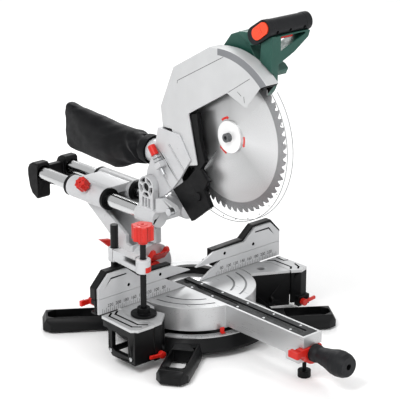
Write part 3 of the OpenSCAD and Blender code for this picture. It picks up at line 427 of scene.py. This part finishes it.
# The turntable's grooves take painted shade.
rounded("turntable", 0.4, [TABLE, GROOVE_SHADE], top_or_groove)
rounded("bevel_bracket", 1.0)
rounded("tilt_arm", 2.0, segments=3)
rounded("rail_housing", 1.5)
rounded("rail_seals", 1.2)
rounded("rail_cover", 1.0)
rounded("bevel_lever", 1.2)
rounded("bevel_latch", 0.8)
rounded("slide_knob", 0.25)
rounded("rear_bracket", 3.0, segments=3)
rounded("carriage", 1.0, [SILVER, BLACK], wheel_parts)
rounded("head_arm", 1.2)
rounded("guard_liner", 1.2)
rounded("gear_case", 1.5)
rounded("motor_housing", 1.2, segments=3)
rounded("handle_body", 1.4)
rounded("handle_grip", 0.5)
rounded("dust_port", 0.8)
rounded("detent_lever", 1.5)
rounded("arm_foot", 0.8)
rounded("trigger", 1.5)
rounded("transport_pin", 0.8, [STEEL])
rounded("mitre_pointer", 0.5)
rounded("arbor", 0.5, [FLANGE, SHADE], flange_or_bolt)
rounded("depth_stop", 0.6, [STEEL, RED], cap_or_screw)


# ---- Marks, screws and lines ----

def disc(bm, at, radius, thick, axis, sides=32):
    turn = Vector((0, 0, 1)).rotation_difference(Vector(axis)).to_matrix().to_4x4()
    bmesh.ops.create_cone(bm, cap_ends=True, segments=sides, radius1=radius, radius2=radius * 0.86,
                          depth=thick, matrix=Matrix.Translation(at) @ turn)


def bar(bm, start, end, width, thick, up):
    """A flat strip from start to end, standing thick above its surface, whose normal is up."""
    start, end, up = Vector(start), Vector(end), Vector(up)
    side = (end - start).cross(up).normalized() * width / 2
    base = [start - side, start + side, end + side, end - side]
    low = [bm.verts.new(p - up * 0.2 * MM) for p in base]
    high = [bm.verts.new(p + up * thick) for p in base]
    bm.faces.new(high)
    for i in range(4):
        j = (i + 1) % 4
        bm.faces.new((low[i], low[j], high[j], high[i]))


def screws():
    bm = bmesh.new()
    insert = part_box("table_insert")[1].z
    for y in (-300, -225, -150, -75, -12):
        for x in (-14, 14):
            disc(bm, (x * MM, y * MM, insert), 3 * MM, 1.0 * MM, (0, 0, 1))
    piece("insert_screws", bm, [STEEL], "turntable", bevel=0.2 * MM)


def fence_holes():
    """The heads sunk in the upper fences' faces, dark with painted shade."""
    for label, side in (("left", -1), ("right", 1)):
        bm = bmesh.new()
        for x, z in FENCE_HOLES:
            disc(bm, (side * x * MM, fence_face + 0.7 * MM, z * MM), 3.4 * MM, 0.8 * MM, (0, -1, 0))
        piece("fence_screws_" + label, bm, [SUNK_SHADE], "fence_" + label)


def fence_rule():
    """Millimetre rules with numbers along the lower fence, counted from the middle."""
    bm = bmesh.new()
    z = table_top + 1.2 * MM
    for side in (-1, 1):
        for i in range(65, 242, 5):
            tall = 9.5 if i % 10 == 0 else 6.5
            x = side * i * MM
            top = (x, fence_face, z + tall * MM)
            bar(bm, (x, fence_face, z), top, 0.7 * MM, 0.08 * MM, (0, -1, 0))
    piece("fence_rule_marks", bm, [INK], "base")
    for side in (-1, 1):
        for i in range(80, 221, 20):
            number(str(i), (side * i * MM, fence_face - 0.08 * MM, z + 10.5 * MM), 9.5 * MM,
                   (radians(90), 0, 0), "base")


def number(text, at, size, turn, body):
    curve = bpy.data.curves.new("number", "FONT")
    curve.body = text
    curve.size = size
    curve.align_x = "CENTER"
    curve.extrude = 0.04 * MM
    curve.materials.append(INK)
    obj = bpy.data.objects.new("number_%d" % len(bpy.data.curves), curve)
    obj.location = at
    obj.rotation_euler = turn
    bpy.context.scene.collection.objects.link(obj)
    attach(obj, body)


def mitre_scale():
    bm = bmesh.new()
    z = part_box("scale_ring")[1].z
    for a in range(-50, 51):
        out = 145 if a % 5 else 149.5
        c, s = sin(radians(a)), -cos(radians(a))
        start, end = (c * 138 * MM, s * 138 * MM, z), (c * out * MM, s * out * MM, z)
        bar(bm, start, end, 0.5 * MM, 0.08 * MM, (0, 0, 1))
    piece("mitre_scale_marks", bm, [INK], "base")


def rotation_arrows():
    """Three printed arrows round the flange that show which way the blade turns."""
    bm = bmesh.new()
    x = blade_low.x - 0.15 * MM
    for start in (98, -22, -142):
        points = []
        for i in range(9):
            a = radians(start + 34 * i / 8)
            points.append((cos(a), sin(a)))
        rows = [[bm.verts.new((x, arbor_at.y - c * r * MM, arbor_at.z + s * r * MM))
                 for r in (36.0, 40.5)] for c, s in points[2:]]
        for p, q in zip(rows, rows[1:]):
            bm.faces.new((p[0], p[1], q[1], q[0]))
        tip, back = points[0], points[2]
        head = [(tip, 38.2), (back, 34.2), (back, 42.5)]
        bm.faces.new([bm.verts.new((x, arbor_at.y - p[0] * r * MM, arbor_at.z + p[1] * r * MM))
                      for p, r in head])
    piece("rotation_arrows", bm, [PAINT], "blade")


def guard_lines():
    """Panel lines and two engraved marks on the guard's flat face."""
    bm = bmesh.new()
    x = guard_left - 0.02 * MM
    lines = [((12, 439), (-121, 511.5), 1.1), ((12, 439), (13, 433), 1.1), ((-136, 445), (-195, 483), 1.0),
             ((-161, 451), (-172, 444.6), 1.2), ((-179, 445), (-181, 433), 1.2)]
    table = 95 * MM
    for (y0, z0), (y1, z1), width in lines:
        start, end = (x, y0 * MM, table + z0 * MM), (x, y1 * MM, table + z1 * MM)
        bar(bm, start, end, width * MM, 0.1 * MM, (-1, 0, 0))
    piece("guard_lines", bm, [SHADE], "head")


def clamp_band():
    """The red clip round the front of the clamp arm's boss."""
    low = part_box("clamp_arm")[0]
    centre = Vector((-180, -55, 0)) * MM
    section = ((14.6, 3), (15.9, 3), (15.9, 14), (14.6, 14))
    bm = bmesh.new()
    rings = []
    for i in range(17):
        a = radians(248 + 82 * i / 16)
        d = Vector((cos(a), sin(a), 0))
        rings.append([bm.verts.new(centre + d * r * MM + Vector((0, 0, low.z + h * MM)))
                      for r, h in section])
    for p, q in zip(rings, rings[1:]):
        for i in range(4):
            j = (i + 1) % 4
            bm.faces.new((p[i], q[i], q[j], p[j]))
    bm.faces.new(rings[0])
    bm.faces.new(list(reversed(rings[-1])))
    piece("clamp_band", bm, [RED], "clamp_arm", bevel=0.5 * MM)


# ---- Guards ----

def arc_points(radius, first, last, count):
    out = []
    for i in range(count + 1):
        a = radians(first + (last - first) * i / count)
        out.append((arbor_at.y / MM - radius * cos(a), arbor_at.z / MM + radius * sin(a)))
    return out


def guard():
    """The blade guard: a flat face, a sloping band round its front made dark with painted shade, and a deep
    rim.
    """
    t = table_top / MM
    n = 36
    face = arc_points(167.5, 48.5, 97, n) + [(-83, t + 514), (25, t + 445), (37, t + 379), (30, t + 335)]
    edge = arc_points(179.5, 47, 99, n) + [(-75, t + 522), (31, t + 462), (71, t + 373), (65, t + 331)]
    hollow = arc_points(176, 47, 98, n) + [(-77, t + 518), (27.5, t + 459.5), (66, t + 372.5), (61, t + 331)]
    low = [(4, t + 262), (-46, t + 276), (-20, t + 377), (-131, t + 442), (-184, t + 423)]
    x0, x1, x2 = guard_left, guard_left + 5.5 * MM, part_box("guard_shell")[1].x
    bm = bmesh.new()

    def row(points, x):
        return [bm.verts.new((x, y * MM, z * MM)) for y, z in points]

    a, b, c = row(face, x0), row(edge, x1), row(edge, x2)
    lower = row(low, x0)
    back = row(low, x0 + 2.6 * MM)
    inner = row(hollow, x2)
    inside = row(hollow, x0 + 6.5 * MM)
    bm.faces.new(a + lower)
    m = len(a)
    for i in range(m - 1):
        strip = bm.faces.new((a[i + 1], a[i], b[i], b[i + 1]))
        # The sloping strip takes painted shade, except near the front end.
        strip.material_index = 1 if i < n - 3 else 0
        bm.faces.new((b[i + 1], b[i], c[i], c[i + 1]))
        bm.faces.new((c[i + 1], c[i], inner[i], inner[i + 1]))
        bm.faces.new((inner[i + 1], inner[i], inside[i], inside[i + 1])).material_index = 2
    for i in range(len(lower) - 1):
        bm.faces.new((lower[i + 1], lower[i], back[i], back[i + 1]))
    bmesh.ops.recalc_face_normals(bm, faces=bm.faces)
    piece("guard_shell_cast", bm, [GUARD, GUARD_SLOPE_SHADE, PLASTIC], "head", ["guard_shell"],
          1.0 * MM, 3)


def front_lip():
    """The black lip that closes the guard's front end, over the clear guard."""
    bm = bmesh.new()
    x0, x2 = guard_left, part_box("guard_shell")[1].x
    rows = []
    outline = [(x0 + 1.0 * MM, 166), (x0 + 5.5 * MM, 178.5), (x2, 178.5), (x2, 170), (x0 + 8 * MM, 170),
               (x0 + 5 * MM, 164)]
    for a in (47.3, 50.5):
        c, s = cos(radians(a)), sin(radians(a))
        rows.append([bm.verts.new((x, arbor_at.y - r * MM * c, arbor_at.z + r * MM * s))
                     for x, r in outline])
    k = len(outline)
    for i in range(k):
        j = (i + 1) % k
        bm.faces.new((rows[0][i], rows[0][j], rows[1][j], rows[1][i]))
    bm.faces.new(rows[0])
    bm.faces.new(list(reversed(rows[1])))
    bmesh.ops.recalc_face_normals(bm, faces=bm.faces)
    piece("guard_front_lip", bm, [PLASTIC], "head", bevel=0.6 * MM)


def lower_guard():
    """The clear guard: its flat sides almost unseen, its outline thin and dark, drawn as wires of painted
    shade.
    """
    low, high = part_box("lower_guard")
    bm = bmesh.new()
    rim, hub = arc_points(168.0, -131, 43, 60), arc_points(44.0, -131, 43, 60)
    sheets = []
    for x in (low.x + 0.3 * MM, high.x - 0.3 * MM):
        rows = [[bm.verts.new((x, y * MM, z * MM)) for y, z in pair] for pair in zip(hub, rim)]
        for p, q in zip(rows, rows[1:]):
            bm.faces.new((p[0], p[1], q[1], q[0]))
        sheets.append(rows)
    for p, q, r, u in zip(sheets[0], sheets[0][1:], sheets[1][1:], sheets[1]):
        bm.faces.new((p[1], q[1], r[1], u[1])).material_index = 1
    piece("lower_guard_clear", bm, [CLEAR, EDGE], "lower_guard", ["lower_guard"])
    bm = bmesh.new()
    for y, z in arc_points(163.0, -118, 34, 12):
        disc(bm, (low.x + 0.2 * MM, y * MM, z * MM), 1.5 * MM, 0.5 * MM, (-1, 0, 0), 16)
    piece("guard_rivets", bm, [SHADE], "lower_guard")
    # Painted shade: dark wires along the clear guard's outline.
    for label, x in (("left", low.x + 0.5 * MM), ("right", high.x - 0.5 * MM)):
        edge = [(x, y * MM, z * MM) for y, z in [hub[0]] + rim]
        wire("guard_edge_shade_" + label, edge, 0.6, SHADE, "lower_guard")


def wire(name, points, radius, finish, body):
    curve = bpy.data.curves.new(name, "CURVE")
    curve.dimensions = "3D"
    curve.bevel_depth = radius * MM
    curve.bevel_resolution = 3
    spline = curve.splines.new("POLY")
    spline.points.add(len(points) - 1)
    for point, place in zip(spline.points, points):
        point.co = (*place, 1)
    curve.materials.append(finish)
    obj = bpy.data.objects.new(name, curve)
    bpy.context.scene.collection.objects.link(obj)
    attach(obj, body)


# ---- Dust bag ----

# Where the pleats meet under the collar: millimetres behind the bag's front, and above the floor
GATHER = (14, 330)


def bag():
    """The bag: a shell blown up by a cloth simulation, creased where it is gathered."""
    low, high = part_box("dust_bag")
    middle = (low + high) / 2
    bm = node_mesh("dust_bag")
    for v in bm.verts:
        if v.co.y > low.y + 25 * MM:
            v.co.x = middle.x + (v.co.x - middle.x) * 0.80
            v.co.z = middle.z + (v.co.z - middle.z) * 0.96
    mesh = bpy.data.meshes.new("bag")
    bm.to_mesh(mesh)
    bm.free()
    obj = bpy.data.objects.new("bag", mesh)
    bpy.context.scene.collection.objects.link(obj)
    remesh = obj.modifiers.new("even", "REMESH")
    remesh.mode = "VOXEL"
    remesh.voxel_size = 4.5 * MM
    mesh = shown_mesh(obj)
    obj.modifiers.clear()
    obj.data = mesh
    start = [v.co.copy() for v in mesh.vertices]
    held = obj.vertex_groups.new(name="held")
    for v in mesh.vertices:
        near = v.co.y < low.y + 22 * MM or v.co.y > high.y - 9 * MM
        if near:
            held.add([v.index], 1.0, "REPLACE")
    cloth = obj.modifiers.new("cloth", "CLOTH")
    cloth.settings.quality = 6
    cloth.settings.mass = 0.15
    cloth.settings.vertex_group_mass = "held"
    cloth.settings.use_pressure = True
    cloth.settings.uniform_pressure_force = 4.0
    cloth.settings.bending_stiffness = 0.2
    cloth.settings.effector_weights.gravity = 0.0
    cloth.point_cache.frame_start = 1
    cloth.point_cache.frame_end = 20
    for i in range(1, 21):
        bpy.context.scene.frame_set(i)
    swollen = shown_mesh(obj)
    obj.modifiers.clear()
    obj.data = swollen
    bpy.context.scene.frame_set(1)
    mesh = obj.data
    cap = 13 * MM
    for v, p in zip(mesh.vertices, start):
        move = v.co - p
        if move.length > cap:
            v.co = p + move * cap / move.length
    bm = bmesh.new()
    bm.from_mesh(mesh)
    bmesh.ops.subdivide_edges(bm, edges=bm.edges, cuts=1, use_grid_fill=True)
    bmesh.ops.smooth_vert(bm, verts=bm.verts, factor=0.5, use_axis_x=True, use_axis_y=True, use_axis_z=True)
    bm.normal_update()
    for v in bm.verts:
        along = (v.co.y - low.y) / (high.y - low.y)
        if along < 0.06:
            continue
        slant = v.co.z + 0.35 * v.co.y
        fold = noise.noise(Vector((v.co.x * 22, v.co.y * 11, slant * 75)))
        crease = abs(noise.noise(Vector((v.co.x * 9, v.co.y * 16 + v.co.z * 24, v.co.z * 30 + 4))))
        near = max(0.0, 1 - along / 0.45)
        slack = 1.9 + 2.6 * near
        dy, dz = (v.co.y - low.y) / MM - GATHER[0], v.co.z / MM - GATHER[1]
        reach = (dy * dy + dz * dz) ** 0.5
        spread = exp(-((reach - 34) / 44) ** 2)
        pleat = sin(atan2(dz, dy) * 9 + 2.5 * noise.noise(v.co * 26)) * spread
        v.co += v.normal * (fold * slack + (0.45 - crease) * (1.6 + 2.4 * near) + 3.4 * pleat) * MM
        v.co.z -= 2.5 * MM * sin(pi * along)
    piece("dust_bag_cloth", bm, [CLOTH], "head", ["dust_bag"])
    bpy.data.objects.remove(obj)
    bag_trim(low, high)


def shown_mesh(obj):
    graph = bpy.context.evaluated_depsgraph_get()
    return bpy.data.meshes.new_from_object(obj.evaluated_get(graph))


def bag_trim(low, high):
    """The band round the collar and the welt of the closing seam."""
    bm = bmesh.new()
    centre = Vector((-10, 0, 363)) * MM
    rings = []
    profile = ((108, 29.6), (108.5, 30.4), (112, 30.9), (118, 30.6), (124, 30.9), (128, 30.2), (129, 29.2))
    for y, r in profile:
        ring = []
        for i in range(48):
            a = 2 * pi * i / 48
            k = r + 0.25 * sin(a * 9)
            ring.append(bm.verts.new(centre + Vector((cos(a) * k, y, sin(a) * k)) * MM))
        rings.append(ring)
    for p, q in zip(rings, rings[1:]):
        for i in range(48):
            j = (i + 1) % 48
            bm.faces.new((p[i], p[j], q[j], q[i]))
    bmesh.ops.recalc_face_normals(bm, faces=bm.faces)
    piece("dust_bag_collar", bm, [CLOTH], "head")
    x = (low.x + high.x) / 2
    ends = [(high.y - 22 * MM, high.z - 8 * MM), (high.y - 6 * MM, high.z - 10 * MM),
            (high.y - 2 * MM, high.z - 20 * MM), (high.y - 2 * MM, low.z + 18 * MM),
            (high.y - 8 * MM, low.z + 8 * MM), (high.y - 24 * MM, low.z + 5 * MM)]
    wire("dust_bag_seam", [(x, y, z) for y, z in ends], 1.8, CLOTH, "head")


guard()
front_lip()
lower_guard()
guard_lines()
rotation_arrows()
fence_rule()
fence_holes()
mitre_scale()
screws()
clamp_band()
bag()


# ---- Studio ----

def floor():
    mesh = bpy.data.meshes.new("floor")
    bm = bmesh.new()
    bmesh.ops.create_grid(bm, x_segments=8, y_segments=8, size=6.0)
    bm.to_mesh(mesh)
    obj = bpy.data.objects.new("floor", mesh)
    bpy.context.scene.collection.objects.link(obj)
    s = Shader("floor_paper", (0.97, 0.97, 0.97), 0.7)
    s.mottle(0.01, 2.0)
    mesh.materials.append(s.m)


def area_light(name, place, size, power, target=(0, 0, 0.3)):
    light = bpy.data.lights.new(name, "AREA")
    light.shape = "DISK"
    light.size = size
    light.energy = power
    obj = bpy.data.objects.new(name, light)
    obj.location = place
    obj.rotation_euler = (Vector(target) - Vector(place)).to_track_quat("-Z", "Y").to_euler()
    bpy.context.scene.collection.objects.link(obj)


def studio():
    world = bpy.data.worlds.new("studio")
    world.use_nodes = True
    world.node_tree.nodes["Background"].inputs["Color"].default_value = (1, 1, 1, 1)
    world.node_tree.nodes["Background"].inputs["Strength"].default_value = 0.66
    bpy.context.scene.world = world
    area_light("key", (-2.2, -0.6, 2.6), 1.2, 44)
    area_light("front", (0.6, -3.0, 1.6), 1.6, 16)
    area_light("rim", (1.5, 2.2, 2.4), 1.2, 30)


def camera():
    data = bpy.data.cameras.new("camera")
    data.lens = 146.08
    data.sensor_width = 36
    obj = bpy.data.objects.new("camera", data)
    obj.location = (-2.07515, -2.33582, 1.36833)
    obj.rotation_euler = (radians(90 - 19.2165), 0, radians(-41.879))
    bpy.context.scene.collection.objects.link(obj)
    bpy.context.scene.camera = obj


camera()
floor()
studio()
bpy.context.scene.view_settings.view_transform = "Standard"
bpy.context.scene.view_settings.look = "Medium High Contrast"
